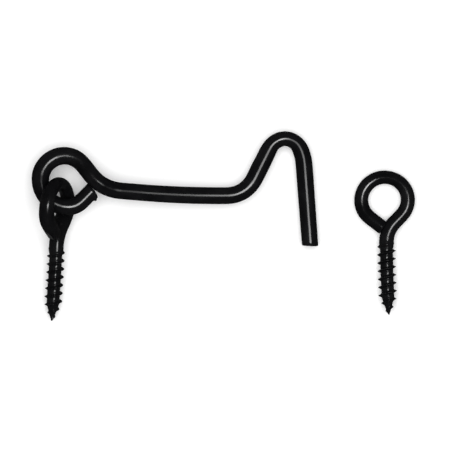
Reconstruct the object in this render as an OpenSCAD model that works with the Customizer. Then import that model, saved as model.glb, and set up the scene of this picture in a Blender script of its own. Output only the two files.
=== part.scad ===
// Hook-and-eye latch for a trunk, chest or gate, laid flat on a table.
// Three pieces of bent steel wire: the hook with its closed eye, the screw eye
// that is linked through it, and the loose screw eye that the hook drops into.
// +X is the hook's long direction, +Y points from the screw tips to the eyes,
// +Z is up from the table. The table is at Z = 0.

/* [Hook] */
// Diameter of the hook's wire
hook_wire_d = 4.5; // [4.1:0.05:4.55]
// Length of the straight leg that drops into the catch eye
leg_len = 22.05; // [18:0.05:26]
// Chamfer at the tip of the leg
leg_chamfer = 0.35; // [0.1:0.05:0.6]
// Radius of the tight bend over the top of the hook
top_bend_r = 4.5; // [4.4:0.1:6]
// Length of the straight rise between shaft and top bend
rise_len = 9.1; // [7:0.1:12]
// Radius of the bend between shaft and rise
toe_bend_r = 8.25; // [6:0.25:12]
// Length of the straight part of the shaft
shaft_len = 5.3; // [3:0.1:12]

/* [Hook eye] */
// Radius of the bend from the shaft up into the eye
neck_bend_r = 10.45; // [9:0.25:13]
// Wire radius line of the first half of the eye
eye_r1 = 6.45; // [6.3:0.05:7]
// Wire radius line of the second half of the eye
eye_r2 = 7.08; // [7:0.02:7.6]
// Radius of the last bend before the cut end
eye_r3 = 4.95; // [4.8:0.05:5.4]

/* [Screw eyes] */
// Diameter of the screw eyes' wire
eye_wire_d = 3.7; // [3.2:0.05:3.75]
// Radius of the bend between shank and ring
throat_r = 6.9; // [6:0.1:9]
// Wire radius line of the ring's first quarter
ring_r1 = 5.9; // [5.7:0.05:6.2]
// Wire radius line of the ring's top and free side
ring_r2 = 6.3; // [6.1:0.05:6.6]
// Wire radius line of the ring's last part
ring_r3 = 5.85; // [5.7:0.05:6.2]
// Straight end of the ring, which stops a hair short of the shank
ring_end = 4.2; // [3.6:0.1:4.2]

/* [Wood screw thread] */
// Length of the shank from the bend down to the screw's tip
shank_len = 19.45; // [16:0.05:24]
// Distance between two crests of the single right-hand thread
pitch = 2.15; // [1.8:0.05:2.5]
// Diameter over the crests
crest_d = 5; // [4.6:0.05:5.4]
// Diameter of the core between the crests
core_d = 3.36; // [3:0.02:3.5]
// Length of the gimlet point
point_len = 3.9; // [3:0.1:6]

/* [Hidden] */

hook_r = hook_wire_d / 2;
wire_r = eye_wire_d / 2;
blend = 0.05;
collar_half = 0.35;
swell = 0.04;
ring_chamfer = 0.3;
hook_chamfer = 0.25;

// Where each piece lies on the table
hook_tip = [23.15, -5.73];
hook_tip_z = 2.39;
hook_heading = 94.3;
hook_tilt = 5.27;
hinge_pos = [-44.52, -6.04, 5.35];
hinge_lean = -2.4;
hinge_rise = 10;
hinge_turn = 64.2;
catch_pos = [43.51, -4.58, 2.44];
catch_lean = 1.8;
catch_rise = -1.95;

// A bent wire is a list of runs. Each run is [length or bend radius,
// bend angle, roll]: a bend of 0 degrees is a straight length, a positive bend
// turns left, and the roll turns the bending plane about the wire first.
hook_path = [
    [leg_len, 0, 0],
    [11.65, 20.4, 0],
    [top_bend_r, 128.6, 0],
    [rise_len, 0, 0],
    [toe_bend_r, -62.9, 0],
    [263, -5.05, 0],
    [shaft_len, 0, 0],
    [neck_bend_r, -48.3, 15.9],
    [3.73, 0, 0],
    [eye_r1, 139.15, -10.75],
    [eye_r2, 98.85, -9.65],
    [eye_r3, 40.05, 3],
    [4.3, 0, 0]
];

ring_path = [
    [throat_r, -46.2, 0],
    [2.9, 0, 0],
    [ring_r1, 88.6, 0],
    [ring_r2, 121, 0],
    [ring_r3, 67.2, 0],
    [ring_end, 0, 0]
];

// Straight wire along +X from x0 to x1, with a broken edge of c0 and c1 at its ends
module straight(x0, x1, r, c0, c1) {
    outline = concat([[0, x0]],
                     c0 > 0 ? [[r - c0, x0], [r, x0 + c0]] : [[r, x0]],
                     c1 > 0 ? [[r, x1 - c1], [r - c1, x1]] : [[r, x1]],
                     [[0, x1]]);
    rotate([0, 90, 0]) rotate_extrude($fn = 48) polygon(outline);
}

// One run of wire, starting at the origin along +X, cut back by t0 and t1
module run(len, bend, r, t0, t1, c0, c1) {
    if (bend == 0) {
        straight(t0, len - t1, r, c0, c1);
    } else {
        d0 = t0 * 180 / PI / len;
        d1 = t1 * 180 / PI / len;
        if (bend > 0)
            translate([0, len, 0]) rotate([0, 0, -90 + d0])
                rotate_extrude(angle = bend - d0 - d1, $fn = 144) translate([len, 0]) circle(r = r, $fn = 48);
        else
            translate([0, -len, 0]) rotate([0, 0, 90 + bend + d1])
                rotate_extrude(angle = -bend - d0 - d1, $fn = 144) translate([len, 0]) circle(r = r, $fn = 48);
    }
}

// Moves what follows to the end of a run
module after(len, bend) {
    if (bend == 0) {
        translate([len, 0, 0]) children();
    } else {
        s = bend > 0 ? 1 : -1;
        translate([len * sin(abs(bend)), s * len * (1 - cos(bend)), 0])
            rotate([0, 0, bend]) children();
    }
}

// A collar a hair thicker than the wire, about the origin and along +X. It
// joins two neighbouring runs into one solid.
module collar(r) {
    translate([-collar_half, 0, 0]) rotate([0, 90, 0]) cylinder(h = 2 * collar_half, r = r + swell, $fn = 48);
}

// The wire along a whole path, from run i to the last, with edges broken by c0
// at its start and c1 at its end
module wire(path, r, c0 = 0, c1 = 0, i = 0) {
    last = len(path) - 1;
    if (i <= last) {
        rotate([path[i][2], 0, 0]) {
            run(path[i][0], path[i][1], r,
                i == 0 && c0 > 0 ? 0 : blend, i == last && c1 > 0 ? 0 : blend,
                i == 0 ? c0 : 0, i == last ? c1 : 0);
            after(path[i][0], path[i][1]) {
                if (i < last) collar(r);
                wire(path, r, c0, c1, i + 1);
            }
        }
    }
}

// Threaded point of the screw, standing on its tip with its axis along +Z.
// Rows of points follow the helix, four to a pitch: foot, crest side, crest
// and the other foot, so each crest is one unbroken edge.
thread_n = 24;
thread_phase = [0, 0.36, 0.5, 0.64];
thread_start = 0.12;
thread_turns = ceil((shank_len - 1.3) / pitch);
thread_last = thread_n * thread_turns;

// Radius of the core at height z above the tip
function core_at(z) =
    z < point_len ? 0.08 + (core_d / 2 - 0.08) * pow(z / point_len, 0.85)
    : z < shank_len - 2 ? core_d / 2
    : core_d / 2 - 0.12 * min(1, (z - shank_len + 2) / 0.6);

// Share of the full ridge at height z: it grows out of the point and dies
// away where the thread meets the plain shank
function ridge_at(z) =
    z < point_len ? 0.12 + 0.88 * pow(max(0, z) / point_len, 0.8)
    : z < shank_len - 2.6 ? 1
    : max(0, 1 - (z - shank_len + 2.6) / 1.3);

// The crest passes the ring's free side 1.5 mm below the bend
crest_turn = 360 * (shank_len - 1.5 - thread_start) / pitch;

function thread_point(i, k) =
    let (a = 360 * i / thread_n,
         z = thread_start + pitch * (i / thread_n + thread_phase[k]),
         r = core_at(z) + (k == 2 ? (crest_d - core_d) / 2 * ridge_at(z) : 0))
    [r * cos(a), r * sin(a), z];

module threaded_point() {
    rows = 4;
    count = (thread_last + 1) * rows;
    // The last row of one turn is the first row of the next turn
    function id(i, k) = k < rows ? i * rows + k : (i + thread_n) * rows;
    top_z = thread_start + pitch * (thread_last / thread_n) + 0.1;
    pts = concat(
        [for (i = [0:thread_last]) for (k = [0:rows - 1]) thread_point(i, k)],
        [[0, 0, 0], [0, 0, top_z]]);
    side = [for (i = [0:thread_last - thread_n - 1]) for (k = [0:rows - 1])
            for (t = [[id(i, k), id(i, k + 1), id(i + 1, k + 1)], [id(i, k), id(i + 1, k + 1), id(i + 1, k)]]) t];
    low = concat([for (i = [0:thread_n - 1]) [id(i, 0), id(i + 1, 0), count]],
                 [for (k = [0:rows - 1]) [id(0, k + 1), id(0, k), count]]);
    e = thread_last - thread_n;
    high = concat([for (i = [e:thread_last - 1]) [id(i + 1, 0), id(i, 0), count + 1]],
                  [for (k = [0:rows - 1]) [id(e, k), id(e, k + 1), count + 1]]);
    polyhedron(points = pts, faces = concat(side, low, high));
}

// Screw eye, with the bend's lower end at the origin and the shank along -Y
module screw_eye() {
    // Plain shank above the thread, with a short taper down to the core
    rotate([90, 0, 0]) {
        translate([0, 0, blend]) cylinder(h = 1.3 - blend, r = wire_r, $fn = 48);
        translate([0, 0, 1.3]) cylinder(h = 0.9, r1 = wire_r, r2 = core_d / 2 - 0.06, $fn = 48);
        translate([0, 0, 1]) cylinder(h = 0.6, r = 1.1, $fn = 48);
    }
    // Threaded point
    translate([0, -shank_len, 0]) rotate([-90, 0, 0]) rotate([0, 0, 360 - crest_turn])
        threaded_point();
    // Ring, ending in its sheared end
    rotate([0, 0, 90]) {
        collar(wire_r);
        wire(ring_path, wire_r, 0, ring_chamfer);
    }
}

// Hook: leg, top bend, rise, shaft, neck and closed eye, all one wire
module gate_hook() {
    color([0.06, 0.06, 0.065])
    translate([hook_tip[0], hook_tip[1], hook_tip_z]) rotate([0, hook_tilt, 0]) rotate([0, 0, hook_heading])
        wire(hook_path, hook_r, leg_chamfer, hook_chamfer);
}

// Screw eye that carries the hook
module hinge_screw_eye() {
    color([0.065, 0.065, 0.07])
    translate(hinge_pos) rotate([0, 0, hinge_lean]) rotate([hinge_rise, 0, 0]) rotate([0, hinge_turn, 0])
        screw_eye();
}

// Loose screw eye that the hook's leg drops into
module catch_screw_eye() {
    color([0.065, 0.065, 0.07])
    translate(catch_pos) rotate([0, 0, catch_lean]) rotate([catch_rise, 0, 0])
        screw_eye();
}

gate_hook();
hinge_screw_eye();
catch_screw_eye();
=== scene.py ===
import math

import bpy
import numpy as np
from mathutils import Matrix, Vector


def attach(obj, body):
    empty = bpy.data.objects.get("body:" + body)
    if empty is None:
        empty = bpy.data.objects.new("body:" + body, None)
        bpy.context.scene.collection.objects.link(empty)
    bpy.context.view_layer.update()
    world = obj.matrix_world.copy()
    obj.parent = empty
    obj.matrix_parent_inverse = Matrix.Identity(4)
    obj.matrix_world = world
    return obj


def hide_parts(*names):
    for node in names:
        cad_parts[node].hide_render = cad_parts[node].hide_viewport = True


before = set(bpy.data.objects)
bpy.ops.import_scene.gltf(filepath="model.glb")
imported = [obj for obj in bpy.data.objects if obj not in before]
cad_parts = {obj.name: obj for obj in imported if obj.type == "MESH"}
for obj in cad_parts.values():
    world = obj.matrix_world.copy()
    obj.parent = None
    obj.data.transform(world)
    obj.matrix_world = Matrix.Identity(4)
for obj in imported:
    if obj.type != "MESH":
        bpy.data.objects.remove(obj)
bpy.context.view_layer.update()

MM = 0.001  # everything below is in millimetres and degrees until it becomes a mesh

# ---------------------------------------------------------------------------
# The wire's numbers, the same as in the CAD
# ---------------------------------------------------------------------------
HOOK_R = 2.25
HOOK_PATH = [
    (22.05, 0, 0), (11.65, 20.4, 0), (4.5, 128.6, 0), (9.1, 0, 0), (8.25, -62.9, 0),
    (263, -5.05, 0), (5.3, 0, 0), (10.45, -48.3, 15.9), (3.73, 0, 0),
    (6.45, 139.15, -10.75), (7.08, 98.85, -9.65), (4.95, 40.05, 3), (4.62, 0, 0),
]
EYE_R = 1.85
SHANK = 19.45
RING_PATH = [
    (6.9, -46.2, 0), (2.9, 0, 0), (5.9, 88.6, 0), (6.3, 121, 0), (5.85, 67.2, 0), (4.2, 0, 0),
]
PITCH = 2.15
CREST_R = 2.5
CORE_R = 1.68
POINT = 4.8
THREAD_START = 0.12


def rot(axis, deg):
    """3x3 rotation about one of the axes x, y or z."""
    a = math.radians(deg)
    c, s = math.cos(a), math.sin(a)
    return np.array({
        "x": [[1, 0, 0], [0, c, -s], [0, s, c]],
        "y": [[c, 0, s], [0, 1, 0], [-s, 0, c]],
        "z": [[c, -s, 0], [s, c, 0], [0, 0, 1]],
    }[axis])


def smooth_step(x, a, b):
    t = np.clip((np.asarray(x, float) - a) / (b - a), 0, 1)
    return t * t * (3 - 2 * t)


def knots(s, table):
    """A smooth curve through (place, value) pairs."""
    xs, ys = np.array([p[0] for p in table], float), np.array([p[1] for p in table], float)
    i = np.clip(np.searchsorted(xs, s) - 1, 0, len(xs) - 2)
    t = np.clip((s - xs[i]) / (xs[i + 1] - xs[i]), 0, 1)
    t = t * t * (3 - 2 * t)
    return ys[i] * (1 - t) + ys[i + 1] * t


def wobble(s, seed, scale, octaves=4):
    """A gentle, repeatable unevenness along s, about -1 to 1, with details of about that scale and finer."""
    rng = np.random.default_rng(seed)
    out, amp, total = np.zeros_like(s, float), 1.0, 0.0
    for k in range(octaves):
        f, p = (0.75 + 0.5 * rng.random()) * 2 ** k / scale, rng.random() * 2 * math.pi
        g, q = (0.75 + 0.5 * rng.random()) * 2 ** k / scale * 0.618, rng.random() * 2 * math.pi
        out += amp * 0.5 * (np.sin(2 * math.pi * f * s + p) + np.sin(2 * math.pi * g * s + q))
        total += amp
        amp *= 0.55
    return out / total


# ---------------------------------------------------------------------------
# Bent wire
# ---------------------------------------------------------------------------
def trace(path, start=(0, 0, 0), turn=None, step=0.1):
    """Centre line of a bent wire: points every step, and at each the direction that it bends to."""
    F = np.eye(3) if turn is None else np.array(turn, float)
    P = np.array(start, float)
    pts, bend, cuts, s = [P.copy()], [np.zeros(3)], [0.0], 0.0
    for length, angle, roll in path:
        F = F @ rot("x", roll)
        if angle == 0:
            n = max(2, int(round(length / step)))
            for u in np.linspace(0, length, n + 1)[1:]:
                pts.append(P + F[:, 0] * u)
                bend.append(np.zeros(3))
            P, s = P + F[:, 0] * length, s + length
        else:
            sign, a = (1 if angle > 0 else -1), math.radians(abs(angle))
            n = max(2, int(round(length * a / step)))
            for w in np.linspace(0, a, n + 1)[1:]:
                pts.append(P + F[:, 0] * length * math.sin(w) + F[:, 1] * sign * length * (1 - math.cos(w)))
                bend.append(sign * F[:, 1] * math.cos(w) * 1.0 - F[:, 0] * math.sin(w))
                bend[-1] = bend[-1] / length
            P, F, s = pts[-1].copy(), F @ rot("z", angle), s + length * a
        cuts.append(s)
    return np.array(pts), np.array(bend), cuts


def gaussian(values, sigma):
    """Smooths rows along the first axis, the ends carried on straight."""
    if sigma <= 0:
        return values
    n = int(4 * sigma) + 1
    k = np.exp(-0.5 * (np.arange(-n, n + 1) / sigma) ** 2)
    k /= k.sum()
    head = 2 * values[0] - values[n:0:-1]
    tail = 2 * values[-1] - values[-2:-n - 2:-1]
    wide = np.vstack([head, values, tail])
    return np.stack([np.convolve(wide[:, j], k, "valid") for j in range(values.shape[1])], 1)


class Line:
    """A wire's centre line by arc length, with frames that don't twist. The drift lists (place, dx, dy, dz), by
    which hand bending has moved it."""

    def __init__(self, pts, bend, first, drift, ease=0.7, step=0.1):
        length = np.concatenate([[0], np.cumsum(np.linalg.norm(np.diff(pts, axis=0), axis=1))])
        s = np.linspace(0, length[-1], int(length[-1] / step) + 1)
        p = np.stack([np.interp(s, length, pts[:, j]) for j in range(3)], 1)
        b = np.stack([np.interp(s, length, bend[:, j]) for j in range(3)], 1)
        h = s[1] - s[0]
        p, b = gaussian(p, ease / h), gaussian(b, 1.2 / h)
        drift = np.array(drift, float)
        p = p + gaussian(np.stack([np.interp(s, drift[:, 0], drift[:, j]) for j in (1, 2, 3)], 1), 1.6 / h)
        t = np.gradient(p, axis=0)
        t /= np.linalg.norm(t, axis=1)[:, None]
        u = np.zeros_like(p)
        u[0] = first - t[0] * np.dot(first, t[0])
        u[0] /= np.linalg.norm(u[0])
        for i in range(1, len(p)):
            v = u[i - 1] - t[i] * np.dot(u[i - 1], t[i])
            u[i] = v / np.linalg.norm(v)
        self.s, self.p, self.b, self.t, self.u, self.v = s, p, b, t, u, np.cross(t, u)
        self.end = s[-1]

    def at(self, s, what):
        a = getattr(self, what)
        return np.stack([np.interp(s, self.s, a[:, j]) for j in range(3)], 1)


def build(name, rows, wire, wear, painted_highlight):
    """A mesh from rows of points round the wire, closed at both ends by a point."""
    n, m, _ = rows.shape
    verts = np.vstack([rows.reshape(-1, 3), rows[0].mean(0)[None], rows[-1].mean(0)[None]])
    i, j = np.meshgrid(np.arange(n - 1), np.arange(m), indexing="ij")
    k = (j + 1) % m
    quads = np.stack([i * m + j, i * m + k, (i + 1) * m + k, (i + 1) * m + j], -1).reshape(-1, 4)
    c0, c1 = n * m, n * m + 1
    js = np.arange(m)
    caps = [(c0, int((a + 1) % m), int(a)) for a in js]
    caps += [(c1, int((n - 1) * m + a), int((n - 1) * m + (a + 1) % m)) for a in js]
    mesh = bpy.data.meshes.new(name)
    mesh.from_pydata((verts * MM).tolist(), [], quads.tolist() + caps)
    mesh.update()
    mesh.shade_smooth()
    at = mesh.attributes.new("wire", "FLOAT_VECTOR", "POINT")
    w = np.vstack([wire.reshape(-1, 3), wire[0].mean(0)[None], wire[-1].mean(0)[None]])
    at.data.foreach_set("vector", w.astype(np.float32).ravel())
    # Stored by point: the wear, and the painted highlight's strength by place, which scales the gloss
    for key, rows_of in (("wear", wear), ("painted_highlight", painted_highlight)):
        at = mesh.attributes.new(key, "FLOAT", "POINT")
        w = np.concatenate([rows_of.ravel(), [rows_of[0].mean(), rows_of[-1].mean()]])
        at.data.foreach_set("value", w.astype(np.float32))
    obj = bpy.data.objects.new(name, mesh)
    bpy.context.scene.collection.objects.link(obj)
    return obj


def end_rows(edge, steps=5):
    """Places along the wire and shares of its radius that round off a cut end, from the edge's start to the face."""
    a = np.linspace(0, math.pi / 2, steps + 1)[1:]
    out = [(edge * math.sin(x), edge * (1 - math.cos(x))) for x in a]
    return out


def keep_clear(part, tail, gap=0.03):
    """Moves the points of a cut end out of an earlier part of the same wire, so that it stops a hair short of it."""
    middle = part.mean(1)
    size = np.linalg.norm(part - middle[:, None], axis=2).mean(1)
    p = tail.reshape(-1, 3)
    away = p[:, None] - middle[None]
    far = np.linalg.norm(away, axis=2)
    row = np.arange(len(p))
    k = (far - size[None]).argmin(1)
    a, d = away[row, k], far[row, k]
    a = a / d[:, None]
    # The wire's own radius in the direction of the point
    spokes = part[k] - middle[k][:, None]
    length = np.linalg.norm(spokes, axis=2)
    j = np.einsum("nmc,nc->nm", spokes / length[..., None], a).argmax(1)
    short = np.clip(length[row, j] + gap - d, 0, None)
    return (p + a * short[:, None]).reshape(tail.shape)


# ---------------------------------------------------------------------------
# The hook: one wire with a loose leg, a tight bend, a shaft and a closed eye
# ---------------------------------------------------------------------------
def local(table, M):
    """A drift table given in the room's directions, turned into the piece's own."""
    return [(row[0], *(M.T @ np.array(row[1:4], float))) for row in table]


def make_hook(m=72):
    M = rot("y", 5.27) @ rot("z", 94.3)
    pts, bend, cuts = trace(HOOK_PATH)
    line = Line(pts, bend, np.array([0.0, 0.0, 1.0]), local([
        (0, 0, 0, 0), (35, 0, 0, 0), (39, -0.05, 0.03, 0), (45, -0.05, 0.03, 0), (49, 0, 0, 0), (84, 0, 0, 0), (86, -0.03, -0.03, 0.07),
        (88, -0.06, -0.07, 0.18), (89, -0.07, -0.08, 0.26), (90, -0.08, -0.09, 0.35), (91, -0.09, -0.10, 0.44), (92, -0.09, -0.10, 0.50),
        (94, -0.09, -0.10, 0.52), (96, -0.08, -0.09, 0.54),
        (98, -0.05, -0.06, 0.67), (100, -0.02, -0.02, 0.83), (102, 0, 0, 0.95), (104, 0, 0, 1.0), (106, 0, 0, 0.96), (108, 0, 0, 0.77),
        (110, 0, 0, 0.42), (112, 0, 0, 0.10), (114, 0, 0, 0), (124, 0, 0, 0.02), (132, 0.02, -0.04, 0.34)], M))
    L = line.end

    # Rows: closer in the tight bends and near the ends
    s, place = [], 0.0
    while place < L:
        s.append(place)
        tight = np.linalg.norm(line.at(np.array([place]), "b"))
        place += 0.12 if place > L - 3.2 else 0.34 if tight < 0.05 else 0.24
    s = np.array(s)
    tip = dict(face=0.16, sign=-1, edge=0.26, tilt=0.28, toward=(0.85, 0.0, 0.5), burr=0.05, seed=21)
    stub = dict(face=L - 0.12, sign=1, edge=0.22, tilt=0.49, toward=(-0.53, 0.85, 0.0), burr=0.08, seed=22)
    s = s[(s > tip["face"] + tip["edge"] + tip["tilt"] + 0.1) & (s < stub["face"] - stub["edge"] - stub["tilt"] - 0.1)]

    # How far the wire reaches inwards, towards the middle of the bend, and
    # outwards, and its half height out of the bend's plane
    inner = [(0, 2.17), (6, 2.22), (20, 2.26), (25, 2.24), (28.5, 2.00), (31.2, 1.93), (34, 2.00), (38, 2.22), (43, 2.29),
             (54, 2.26), (83, 2.22), (95.5, 2.22), (99, 2.20), (103, 2.19), (107.5, 2.22), (111.5, 2.26), (114.5, 2.25),
             (122, 2.22), (L, 2.16)]
    outer = [(0, 2.17), (6, 2.22), (20, 2.26), (25, 2.22), (28.5, 2.07), (31.2, 2.06), (34, 2.07), (38, 2.30), (42, 2.34),
             (47, 2.28), (54, 2.26), (83, 2.22), (95.5, 2.27), (99, 2.44), (103, 2.55), (109, 2.53), (112.5, 2.36),
             (114.5, 2.30), (122, 2.24), (L, 2.18)]
    height = [(0, 2.17), (6, 2.22), (20, 2.25), (27, 2.26), (31.2, 2.29), (35.5, 2.26), (54, 2.25), (83, 2.22),
              (95.5, 2.23), (108, 2.24), (122, 2.22), (L, 2.16)]

    def rows_at(s, grow=1.0):
        P, T, U, V, B = (line.at(s, w) for w in "ptuvb")
        # The plane of the bend, carried on smoothly where the wire is straight
        far = np.linalg.norm(B, axis=1)
        Bn = np.where(far[:, None] > 1e-3, B / np.maximum(far, 1e-9)[:, None], V)
        a = np.arctan2((Bn * V).sum(1), (Bn * U).sum(1))
        a2 = np.unwrap(2 * a) / 2
        w_in, w_out, h = knots(s, inner), knots(s, outer), knots(s, height)
        w = (w_in + w_out) / 2
        P = P + B * ((w_in - w_out) / 2 / np.maximum(far, 0.02))[:, None]
        w = w + 0.012 * wobble(s, 3, 17.0)
        h = h + 0.012 * wobble(s, 5, 13.0)
        q = 2 * math.pi * np.arange(m) / m
        ca, sa = np.cos(q[None, :] - a2[:, None]), np.sin(q[None, :] - a2[:, None])
        r = 1 / np.sqrt((ca / w[:, None]) ** 2 + (sa / h[:, None]) ** 2)
        # The former leaves a slight flat on the outside of the tight bend
        flat = np.exp(-((s - 31.2) / 3.2) ** 2)[:, None] * np.clip(-ca, 0, 1) ** 6
        r = r - 0.05 * flat
        # Slight unevenness of the drawn wire and its coating
        r = r + 0.006 * np.cos(2 * q[None, :] + 0.05 * s[:, None]) * wobble(s, 8, 21.0)[:, None]
        r = r + 0.004 * np.cos(3 * q[None, :] + 1.3) * wobble(s, 9, 9.0)[:, None]
        D = U[:, None, :] * np.cos(q)[None, :, None] + V[:, None, :] * np.sin(q)[None, :, None]
        # The shears have pushed up a lip on the lower side of the eye's cut end
        away = np.clip(D @ (M.T @ np.array([0.62, -0.78, 0.0])), 0, 1)
        at = s - L + 1.62
        lip = 0.62 * np.where(at > 0, np.clip(1 - at / 1.1, 0, 1), np.exp(-(at / 0.28) ** 2))
        r = r + lip[:, None] * away ** 5
        X = P[:, None, :] + D * r[..., None]
        W = np.stack([r * np.cos(q), r * np.sin(q), np.broadcast_to(s[:, None], r.shape)], -1)
        return X, W, T, D

    X, W, T, D = rows_at(s)
    body_wear = np.zeros(X.shape[:2])
    # Rubbed where the hook hangs in the screw eye, and on the leg's tip
    body_wear += 0.35 * np.exp(-((s - 115.5) / 2.2) ** 2)[:, None] * np.ones(m)
    body_wear += 0.25 * (1 - smooth_step(s, 0.3, 2.5))[:, None] * np.ones(m)

    q = 2 * math.pi * np.arange(m) / m

    def cap(face, sign, edge, tilt, toward, burr, seed):
        """A sheared end with the middle of its face at that place: a broken edge, then a face that isn't quite square."""
        reach = edge + tilt + 0.06
        base = np.array([face - sign * reach])
        x, w, t, d = rows_at(base)
        rng = np.random.default_rng(seed)
        centre = x[0].mean(0)
        tangent = t[0] * sign
        out_x, out_w, out_wear = [], [], []
        ragged = 0.5 + 0.5 * np.sin(3 * q + rng.random() * 6) * np.sin(5 * q + rng.random() * 6)
        slope = tilt * (d[0] @ (M.T @ np.array(toward)))
        profile = end_rows(edge) + [(edge + 0.01, edge + 0.25), (edge + 0.0, edge + 0.9)]
        for along, inward in profile:
            k = 1 - inward / HOOK_R
            push = reach - edge + along + slope * k + burr * ragged * (1 if inward < 1.5 * edge else 0.4)
            ring = centre + (x[0] - centre) * k + tangent[None, :] * push[:, None]
            out_x.append(ring)
            ww = w[0].copy()
            ww[:, :2] *= k
            ww[:, 2] = base[0] + sign * push
            out_w.append(ww)
            out_wear.append(np.full(m, 0.55 if inward > 0.3 * edge else 0.35))
        return np.array(out_x), np.array(out_w), np.array(out_wear)

    x0, w0, e0 = cap(**tip)
    x1, w1, e1 = cap(**stub)
    k = int((s > L - 3).sum())
    tail = keep_clear(X[(s > 82) & (s < 97)], np.concatenate([X[-k:], x1]))
    X[-k:], x1 = tail[:k], tail[k:]
    X = np.concatenate([x0[::-1], X, x1])
    W = np.concatenate([w0[::-1], W, w1])
    E = np.concatenate([e0[::-1], body_wear, e1])
    # Painted highlight: how strongly the gloss shows, by place along the wire. It is raised where a highlight is
    # painted and lowered where one should fade.
    painted_highlight = [(2.9, 0.7), (6.9, 0.52), (12.2, 0.51), (17.5, 0.45), (21.5, 0.37), (26, 0.3), (29.8, 0.28), (32.5, 1.1), (34.5, 0.8),
             (37.5, 0.43), (40, 0.5), (43, 0.44), (46, 0.65), (47.4, 0.95), (50.7, 0.88), (55, 0.43), (59, 0.40), (64.3, 0.26),
             (69.6, 0.19), (75, 0.21), (80.4, 0.10), (82.6, 0.09), (83.4, 0.18), (84.1, 0.14), (84.9, 0.03), (87.4, 0.02),
             (88.3, 0.25), (89.6, 0.75), (91.2, 0.9), (92.4, 0.7), (94, 0.3), (97.4, 0.25),
             (99.7, 1.0), (102.4, 0.68), (104.7, 1.05), (107.3, 0.7), (108.3, 0.5), (110.4, 0.06), (112.6, 0.10), (116, 0.3),
             (120.8, 0.34), (123, 1.1), (125.2, 0.9), (128, 0.9)]
    G = np.interp(W[:, :, 2].mean(1), [a for a, b in painted_highlight], [b for a, b in painted_highlight])[:, None] * np.ones(m)
    X = X @ M.T + np.array([23.15, -5.73, 2.39])
    return build("hook_wire", X, W, E, G)


# ---------------------------------------------------------------------------
# The screw eyes: a wood-screw thread, a plain shank and a bent ring
# ---------------------------------------------------------------------------
def core_at(z, shank):
    point = 0.05 + (CORE_R - 0.05) * np.clip(z / POINT, 0, 1) ** 0.80
    upper = CORE_R + (EYE_R + 0.12 - CORE_R) * smooth_step(z, shank - 2.3, shank - 0.6)
    return np.where(z < POINT, point, upper)


def ridge_at(z, shank):
    low = 0.10 + 0.90 * np.clip(z / POINT, 0, 1) ** 0.8
    high = 1 - smooth_step(z, shank - 1.9, shank + 0.3)
    return low * high


def thread_radius(q, z, seed, shank, thread):
    """Radius of the threaded point at angle q (radians) and height z above the tip: sharp rolled crests on a nearly round core."""
    crest_turn = (SHANK - 1.3 - THREAD_START) / PITCH
    # No two threads are rolled alike: this one's pitch against the nominal one, and how far up its crests sit
    stretch, up, high = thread
    u = ((z - up - 17) / stretch + 17 - THREAD_START) / PITCH - q / (2 * math.pi) - crest_turn - 0.5
    d = (u - np.round(u)) * PITCH                      # distance to the nearest crest, up positive
    turn = np.round(u)
    core = core_at(z, shank)
    rise = np.where(z < POINT, CREST_R - CORE_R, CREST_R - core) + 0.04
    # Each flank is a little hollow, and the crest is drawn to an edge
    low_w, high_w = 0.50, 0.46
    x = np.where(d < 0, -d / low_w, d / high_w)
    prof = np.clip(1 - x, 0, 1)
    prof = 0.80 * prof + 0.20 * prof ** 2
    # Round off the very tip of the crest and fillet its root
    prof = np.where(prof > 0.93, 0.93 + 0.07 * np.tanh((prof - 0.93) / 0.07) / 1.0, prof)
    root = 0.045 * np.exp(-np.clip(x - 0.75, 0, None) ** 2 / 0.12)
    rise = rise * high
    uneven = 1 + 0.05 * np.sin(q * 2 + 1.7 * turn + seed) * np.sin(0.9 * turn + seed)
    swell = 0.012 * np.sin(q * 3 + 0.8 * z + seed)
    # The core is very slightly barrel-shaped between two crests
    barrel = 0.035 * np.cos(2 * math.pi * (u - np.round(u))) * -1
    grow = ridge_at(z, shank)
    return core + grow * (rise * prof * uneven + root + barrel * (z > POINT * 0.5)) + swell * grow


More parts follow.
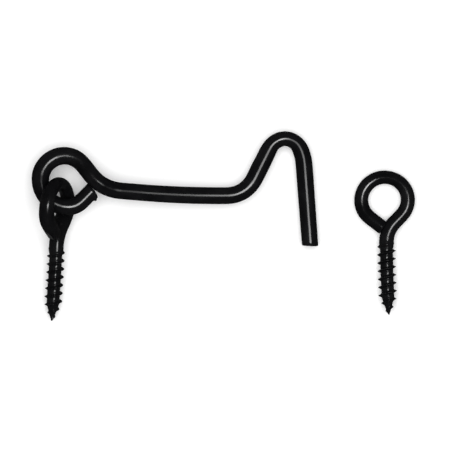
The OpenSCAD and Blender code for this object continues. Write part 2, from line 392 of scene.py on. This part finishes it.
def make_eye(name, place, turns, seed, shank, thread, table, drift, painted_highlight, cut, facet=None, pinch=None, m=72):
    """One screw eye. The table lists, by share of the ring's length, the wire's half width in and across the ring's plane."""
    M = np.eye(3)
    for axis, deg in turns:
        M = M @ rot(axis, deg)
    start = np.array([0.0, -shank, 0.0])
    path = [(shank, 0, 0)] + RING_PATH
    pts, bend, cuts = trace(path, start, rot("z", 90))
    line = Line(pts, bend, np.array([1.0, 0.0, 0.0]), local(drift, M), ease=0.55)
    L = line.end
    q = 2 * math.pi * np.arange(m) / m

    # Rows in the thread, then rows in the ring
    z0 = np.concatenate([[0.06, 0.12, 0.2], np.arange(0.28, shank + 0.4, PITCH / 30)])
    s1 = [z0[-1] + 0.1]
    while s1[-1] < L - 0.5:
        s1.append(s1[-1] + 0.21)
    s = np.concatenate([z0, np.array(s1)])
    longer, tilt, toward = cut
    reach = 0.36 + tilt
    s = s[s < L + longer - reach - 0.1]

    ring = L - shank
    width = [(shank - 1.3, 1.97)] + [(shank + a * ring, w) for a, w, h in table]
    height = [(shank - 1.3, 1.97)] + [(shank + a * ring, h) for a, w, h in table]

    def rows_at(s):
        P, T, U, V, B = (line.at(s, w) for w in "ptuvb")
        w, h = knots(s, width), knots(s, height)
        w = w + 0.012 * wobble(s, seed + 1, 11.0)
        h = h + 0.010 * wobble(s, seed + 2, 9.0)
        # The ring is flat, so the bend's plane is the frame's U
        c, v = np.cos(q)[None, :], np.sin(q)[None, :]
        r_ring = 1 / np.sqrt((c / w[:, None]) ** 2 + (v / h[:, None]) ** 2)
        r_ring = r_ring + 0.005 * np.cos(3 * q[None, :] + 0.7) * wobble(s, seed + 3, 7.0)[:, None]
        # V points down, away from the ring's top side, at the angle that the thread is measured from
        r_thread = thread_radius(q[None, :], s[:, None], seed, shank, thread)
        k = smooth_step(s, shank - 0.2, shank + 0.35)[:, None]
        r = r_thread * (1 - k) + r_ring * k
        D = U[:, None, :] * np.cos(q)[None, :, None] + V[:, None, :] * np.sin(q)[None, :, None]
        if pinch is not None:
            # The bending jaws have pushed the wire out on one side
            middle, reach, height_of, side = pinch
            r = r + height_of * np.exp(-((s - middle) / reach) ** 2)[:, None] * np.clip(D @ (M.T @ np.array(side)), 0, 1) ** 3
            # The swollen part is no thicker on its underside, where it lies on the table
            below = np.clip(-(D @ M.T[:, 2]), 0, 1)
            r = r - 0.19 * np.exp(-((s - 31.5) / 5.0) ** 2)[:, None] * below ** 3
        X = P[:, None, :] + D * r[..., None]
        W = np.stack([r * np.cos(q), r * np.sin(q), np.broadcast_to(s[:, None], r.shape)], -1)
        return X, W, T, r

    X, W, T, R = rows_at(s)
    E = np.zeros(R.shape)
    crest = (R - core_at(s, shank)[:, None]) / (CREST_R - CORE_R)
    E += 0.5 * smooth_step(crest, 0.72, 1.0) * (s < shank - 1.3)[:, None]
    E += 0.25 * (1 - smooth_step(s, 0.2, 2.0))[:, None]

    # The sheared end of the ring
    s_end = L + longer - reach
    x, w, t, _ = rows_at(np.array([s_end]))
    centre = x[0].mean(0)
    d = (x[0] - centre) / np.linalg.norm(x[0] - centre, axis=1)[:, None]
    slope = tilt * (d @ (M.T @ np.array(toward)))
    rng = np.random.default_rng(seed + 40)
    ragged = 0.5 + 0.5 * np.sin(3 * q + rng.random() * 6) * np.sin(4 * q + rng.random() * 6)
    xs, ws, es = [], [], []
    for along, inward in end_rows(0.30) + [(0.31, 0.5), (0.31, 0.8), (0.30, 1.1), (0.30, 1.4), (0.30, 1.7)]:
        k = 1 - inward / EYE_R
        push = reach - 0.30 + along + slope * k + 0.03 * ragged
        xs.append(centre + (x[0] - centre) * k + t[0][None, :] * push[:, None])
        ww = w[0].copy()
        ww[:, :2] *= k
        ww[:, 2] = s_end + push
        ws.append(ww)
        es.append(np.full(m, 0.5 if inward > 0.1 else 0.35))
    X = np.concatenate([X, np.array(xs)])
    k = np.searchsorted(s, L - 2.0)
    X[k:] = keep_clear(X[:len(s)][(s > shank - 1.0) & (s < shank + 9)], X[k:])
    W = np.concatenate([W, np.array(ws)])
    E = np.concatenate([E, np.array(es)])
    # Painted highlight: the gloss's strength by place along the wire, from the eye's own list
    G = np.interp(W[:, :, 2].mean(1), [a for a, b in painted_highlight], [b for a, b in painted_highlight])[:, None] * np.ones(m)
    W = W + np.array([0, 0, 200.0 + 90.0 * seed])
    X = X @ M.T + np.array(place)
    if facet is not None:
        # The shears have also cut a flat on the end's outer side
        after, point, normal = facet
        n = np.array(normal, float) / np.linalg.norm(normal)
        far = (X - np.array(point)) @ n
        far[np.arange(len(X)) < np.searchsorted(s, after)] = -1
        X = X - np.clip(far, 0, None)[..., None] * n
        E = np.where(far > 0, 0.9, E)
    return build(name, X, W, E, G)


hook = make_hook()
# In each eye's call, the list after the drift table is its painted highlight: how strongly the gloss shows, by place
# along the wire, brightening or dimming the highlight there
hinge = make_eye("hinge_eye_wire", (-44.52, -6.04, 5.35), (("z", -2.4), ("x", 10), ("y", 64.2)), 1, SHANK + 0.50, (1.0186, -0.26, 0.92), (
    (0.0, 1.98, 1.95), (0.10, 2.06, 2.04), (0.17, 2.10, 2.12), (0.25, 2.08, 2.10), (0.40, 1.82, 1.86), (0.50, 1.80, 1.80),
    (0.60, 1.85, 1.84), (0.75, 1.97, 1.98), (0.84, 2.08, 2.12), (0.92, 2.04, 2.06), (1.0, 1.98, 2.00)), (
    (0, -0.34, 0, 0), (5, -0.24, 0, 0), (10, -0.12, 0, 0), (16, 0, 0, 0), (20, 0.06, 0, 0), (24, 0, 0, 0), (27, -0.13, 0, 0), (30, -0.13, 0, 0),
    (33, -0.08, 0, 0), (36, -0.12, -0.05, 0), (41, -0.20, -0.14, 0), (45, -0.17, -0.09, 0.08), (47, -0.14, -0.04, 0.32), (48.7, -0.12, 0, 0.38),
    (50.7, -0.10, 0, 0.18), (52.5, -0.08, 0, -0.08), (54.5, -0.08, 0, -0.16), (62, -0.10, 0, -0.14)), (
    (0, 0.9), (15, 0.9), (18.5, 1.1), (20, 0.95), (21.5, 0.9), (24, 0.5), (40, 0.4), (47.5, 0.3), (49.2, 0.35), (50.2, 1.2), (51.3, 1.1), (52.0, 0.25), (54, 0.22), (62, 0.4)),
    (0.10, 0.34, (-0.86, -0.51, 0)),
    (56.5, (-47.33, -1.71, 11.13), (-0.441, -0.853, 0.279)), (28.3, 1.9, 0.5, (-0.95, 0.15, 0.25)))
catch = make_eye("catch_eye_wire", (43.51, -4.58, 2.44), (("z", 1.8), ("x", -1.95)), 2, SHANK, (1.0, 0.0, 1.0), (
    (0.0, 1.97, 1.90), (0.08, 1.97, 1.86), (0.20, 1.90, 1.86), (0.30, 1.90, 1.86), (0.42, 1.83, 1.87), (0.50, 1.76, 1.88),
    (0.58, 1.80, 1.88), (0.70, 1.86, 1.86), (0.88, 1.88, 1.84), (1.0, 1.87, 1.82)), (
    (0, -0.03, 0, 0.14), (4, -0.09, 0, 0.14), (9, -0.18, 0, 0.12), (16, -0.16, 0, 0.05), (21, 0, 0, 0), (25, 0, 0, 0), (62, 0, 0, 0)), (
    (0, 0.9), (16, 0.9), (18.3, 1.6), (20.3, 1.9), (22.5, 0.9), (25, 0.88), (28.5, 0.88), (31, 1.3), (32.3, 1.05), (33.6, 1.3), (35.5, 1.1),
    (38, 0.3), (41, 0.15), (43.5, 0.25), (45.5, 1.0), (47.8, 1.7), (50.5, 1.25), (52, 1.1), (54, 0.2), (62, 0.12)),
    (0.22, 0.24, (-0.61, -0.79, 0)))


# ---------------------------------------------------------------------------
# Black coating over steel
# ---------------------------------------------------------------------------
def coating(name, seed, rough=0.17):
    mat = bpy.data.materials.new(name)
    mat.use_nodes = True
    nt = mat.node_tree
    nt.nodes.clear()
    N, Lk = nt.nodes.new, nt.links.new

    def node(kind, **values):
        n = N(kind)
        for k, v in values.items():
            if k in n.inputs:
                n.inputs[k].default_value = v
            else:
                setattr(n, k, v)
        return n

    out = node("ShaderNodeOutputMaterial")
    bsdf = node("ShaderNodeBsdfPrincipled")
    bsdf.inputs["IOR"].default_value = 1.5
    Lk(bsdf.outputs["BSDF"], out.inputs["Surface"])

    wire = node("ShaderNodeAttribute", attribute_name="wire")
    wear = node("ShaderNodeAttribute", attribute_name="wear")
    painted_highlight = node("ShaderNodeAttribute", attribute_name="painted_highlight")

    def mapped(scale, location=(0, 0, 0)):
        mp = node("ShaderNodeMapping")
        mp.inputs["Scale"].default_value = scale
        mp.inputs["Location"].default_value = location
        Lk(wire.outputs["Vector"], mp.inputs["Vector"])
        return mp.outputs["Vector"]

    def noise(vector, scale, detail=3.0, rough=0.55, distortion=0.0):
        n = node("ShaderNodeTexNoise")
        n.inputs["Scale"].default_value = scale
        n.inputs["Detail"].default_value = detail
        n.inputs["Roughness"].default_value = rough
        n.inputs["Distortion"].default_value = distortion
        Lk(vector, n.inputs["Vector"])
        return n.outputs["Fac"]

    def ramp(fac, stops, interpolation="LINEAR"):
        r = node("ShaderNodeValToRGB")
        r.color_ramp.interpolation = interpolation
        while len(r.color_ramp.elements) > 1:
            r.color_ramp.elements.remove(r.color_ramp.elements[-1])
        r.color_ramp.elements[0].position = stops[0][0]
        r.color_ramp.elements[0].color = (*stops[0][1], 1)
        for pos, col in stops[1:]:
            e = r.color_ramp.elements.new(pos)
            e.color = (*col, 1)
        Lk(fac, r.inputs["Fac"])
        return r.outputs["Color"]

    def math_node(op, a, b=None, clamp=False):
        n = node("ShaderNodeMath", operation=op)
        n.use_clamp = clamp
        for i, v in enumerate((a, b)):
            if v is None:
                continue
            if isinstance(v, (int, float)):
                n.inputs[i].default_value = v
            else:
                Lk(v, n.inputs[i])
        return n.outputs[0]

    def mix(fac, a, b):
        n = node("ShaderNodeMix", data_type="RGBA")
        Lk(fac, n.inputs["Factor"])
        for k, v in (("A", a), ("B", b)):
            sock = [x for x in n.inputs if x.name == k and x.type == "RGBA"][0]
            if isinstance(v, tuple):
                sock.default_value = (*v, 1)
            else:
                Lk(v, sock)
        return [x for x in n.outputs if x.type == "RGBA"][0]

    shift = (3.1 * seed, 1.7 * seed, 0.0)
    cloud = noise(mapped((1, 1, 0.55), shift), 0.33, 3.0, 0.6)
    peel = noise(mapped((1, 1, 0.8), shift), 1.35, 2.0, 0.45)
    grain = noise(mapped((1, 1, 1), shift), 9.0, 2.0, 0.5)
    drawn = noise(mapped((4.5, 4.5, 0.16), shift), 1.0, 3.0, 0.55)
    specks = noise(mapped((1, 1, 1), (5.5, 2.2, 9.1)), 4.2, 1.0, 0.4)

    # Colour: near black, a little uneven, with dust in the lows and thin coating on the edges
    black = ramp(cloud, [(0.30, (0.0022, 0.0022, 0.0025)), (0.52, (0.0034, 0.0034, 0.0038)), (0.74, (0.0052, 0.0052, 0.0056))])
    dust = ramp(specks, [(0.0, (0, 0, 0)), (0.70, (0, 0, 0)), (0.80, (0.35, 0.35, 0.35))])
    colour = mix(dust, black, (0.020, 0.020, 0.021))
    bare = math_node("MULTIPLY", wear.outputs["Fac"], noise(mapped((1, 1, 1), shift), 2.6, 3.0, 0.65))
    thin = ramp(bare, [(0.0, (0, 0, 0)), (0.20, (0, 0, 0)), (0.34, (1, 1, 1))])
    colour = mix(thin, colour, (0.030, 0.030, 0.031))
    Lk(colour, bsdf.inputs["Base Color"])

    # Gloss: mostly high, duller where the coating is uneven or worn
    gloss = ramp(cloud, [(0.25, (rough - 0.03,) * 3), (0.75, (rough + 0.07,) * 3)])
    gloss = mix(dust, gloss, (rough + 0.2,) * 3)
    gloss = mix(thin, gloss, (0.42, 0.42, 0.42))
    Lk(gloss, bsdf.inputs["Roughness"])
    # Painted highlight: the specular level is scaled by place along the wire, which brightens the highlights in some
    # stretches and dims them in others
    Lk(math_node("MULTIPLY", painted_highlight.outputs["Fac"], math_node("ADD", math_node("MULTIPLY", peel, 0.10), 0.45)),
       bsdf.inputs["Specular IOR Level"])

    def bump(height, distance, strength, before=None):
        b = node("ShaderNodeBump")
        b.inputs["Strength"].default_value = strength
        b.inputs["Distance"].default_value = distance
        Lk(height, b.inputs["Height"])
        if before is not None:
            Lk(before, b.inputs["Normal"])
        return b.outputs["Normal"]

    n1 = bump(peel, 0.000012, 1.0)
    n2 = bump(drawn, 0.000003, 1.0, n1)
    n3 = bump(grain, 0.0000006, 1.0, n2)
    Lk(n3, bsdf.inputs["Normal"])
    return mat


hook_mat = coating("hook_black", 1, 0.16)
eye_mat = coating("eye_black", 2, 0.17)
hook.data.materials.append(hook_mat)
hinge.data.materials.append(eye_mat)
catch.data.materials.append(eye_mat)

for piece, body, node_name, slot in (
    (hook, "hook", "gate_hook", "hook_coating"),
    (hinge, "hinge_eye", "hinge_screw_eye", "eye_coating"),
    (catch, "catch_eye", "catch_screw_eye", "eye_coating"),
):
    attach(piece, body)
    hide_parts(node_name)


# ---------------------------------------------------------------------------
# Floor, light and camera
# ---------------------------------------------------------------------------
def make_floor():
    n, size = 24, 3.0
    c = np.linspace(-1, 1, n + 1)
    grid = np.sign(c) * np.abs(c) ** 2.2 * size
    verts = [(x, y, -0.0001) for y in grid for x in grid]
    faces = [(j * (n + 1) + i, j * (n + 1) + i + 1, (j + 1) * (n + 1) + i + 1, (j + 1) * (n + 1) + i)
             for j in range(n) for i in range(n)]
    mesh = bpy.data.meshes.new("floor")
    mesh.from_pydata(verts, [], faces)
    obj = bpy.data.objects.new("floor", mesh)
    bpy.context.scene.collection.objects.link(obj)
    mat = bpy.data.materials.new("floor_pale")
    mat.use_nodes = True
    nt = mat.node_tree
    b = nt.nodes["Principled BSDF"]
    tex = nt.nodes.new("ShaderNodeTexNoise")
    tex.inputs["Scale"].default_value = 900.0
    tex.inputs["Detail"].default_value = 3.0
    co = nt.nodes.new("ShaderNodeTexCoord")
    nt.links.new(co.outputs["Object"], tex.inputs["Vector"])
    r = nt.nodes.new("ShaderNodeValToRGB")
    r.color_ramp.elements[0].color = (0.90, 0.90, 0.90, 1)
    r.color_ramp.elements[1].color = (0.93, 0.93, 0.93, 1)
    nt.links.new(tex.outputs["Fac"], r.inputs["Fac"])
    nt.links.new(r.outputs["Color"], b.inputs["Base Color"])
    b.inputs["Roughness"].default_value = 0.9
    b.inputs["Emission Color"].default_value = (1, 1, 1, 1)
    b.inputs["Emission Strength"].default_value = 0.15
    b.inputs["Specular IOR Level"].default_value = 0.1
    mesh.materials.append(mat)
    obj.visible_glossy = False
    return obj


floor = make_floor()


def softbox(name, direction, distance, width, height, power, glossy=True):
    light = bpy.data.lights.new(name, "AREA")
    light.shape = "ELLIPSE"
    light.size, light.size_y = width, height
    light.energy = power
    obj = bpy.data.objects.new(name, light)
    bpy.context.scene.collection.objects.link(obj)
    z = Vector(direction).normalized()
    x = (Vector((1, 0, 0)) - z * z.x).normalized()
    y = z.cross(x)
    obj.location = z * distance
    obj.rotation_mode = "QUATERNION"
    obj.rotation_quaternion = Matrix((x, y, z)).transposed().to_quaternion()
    obj.visible_camera = False
    obj.visible_glossy = glossy
    return obj


fill = softbox("fill", (0, 0, 1), 1.6, 2.4, 2.4, 46.0, glossy=False)
for piece, direction, width, height, power in (
    (hook, (0.18, 0.02, 1), 0.48, 0.44, 7.0),
    (hinge, (0.24, -0.22, 1), 0.32, 0.50, 5.0),
    (catch, (0.25, -0.09, 1), 0.36, 0.38, 4.4),
):
    key = softbox("key_" + piece.name, direction, 1.2, width, height, power)
    lit = bpy.data.collections.new("lit_" + piece.name)
    lit.objects.link(piece)
    key.light_linking.receiver_collection = lit

world = bpy.data.worlds.new("studio")
bpy.context.scene.world = world
world.use_nodes = True
bg = world.node_tree.nodes["Background"]
bg.inputs["Color"].default_value = (1, 1, 1, 1)
bg.inputs["Strength"].default_value = 0.038

cam = bpy.data.cameras.new("camera")
cam.sensor_width = 36.0
cam_obj = bpy.data.objects.new("camera", cam)
bpy.context.scene.collection.objects.link(cam_obj)
D = 4.5                                   # from the lens to the wires' centre lines
WIDTH = 0.12039                           # what the picture spans there
cam.lens = 36.0 * D / WIDTH
cam_obj.location = (0.00072, -0.00035, D + 0.0035)
cam_obj.rotation_euler = (0, 0, 0)
cam.clip_start, cam.clip_end = 0.01, 40.0
bpy.context.scene.camera = cam_obj

scene = bpy.context.scene
scene.view_settings.view_transform = "Standard"
scene.view_settings.look = "None"
scene.view_settings.exposure = 0.0
scene.view_settings.gamma = 1.0
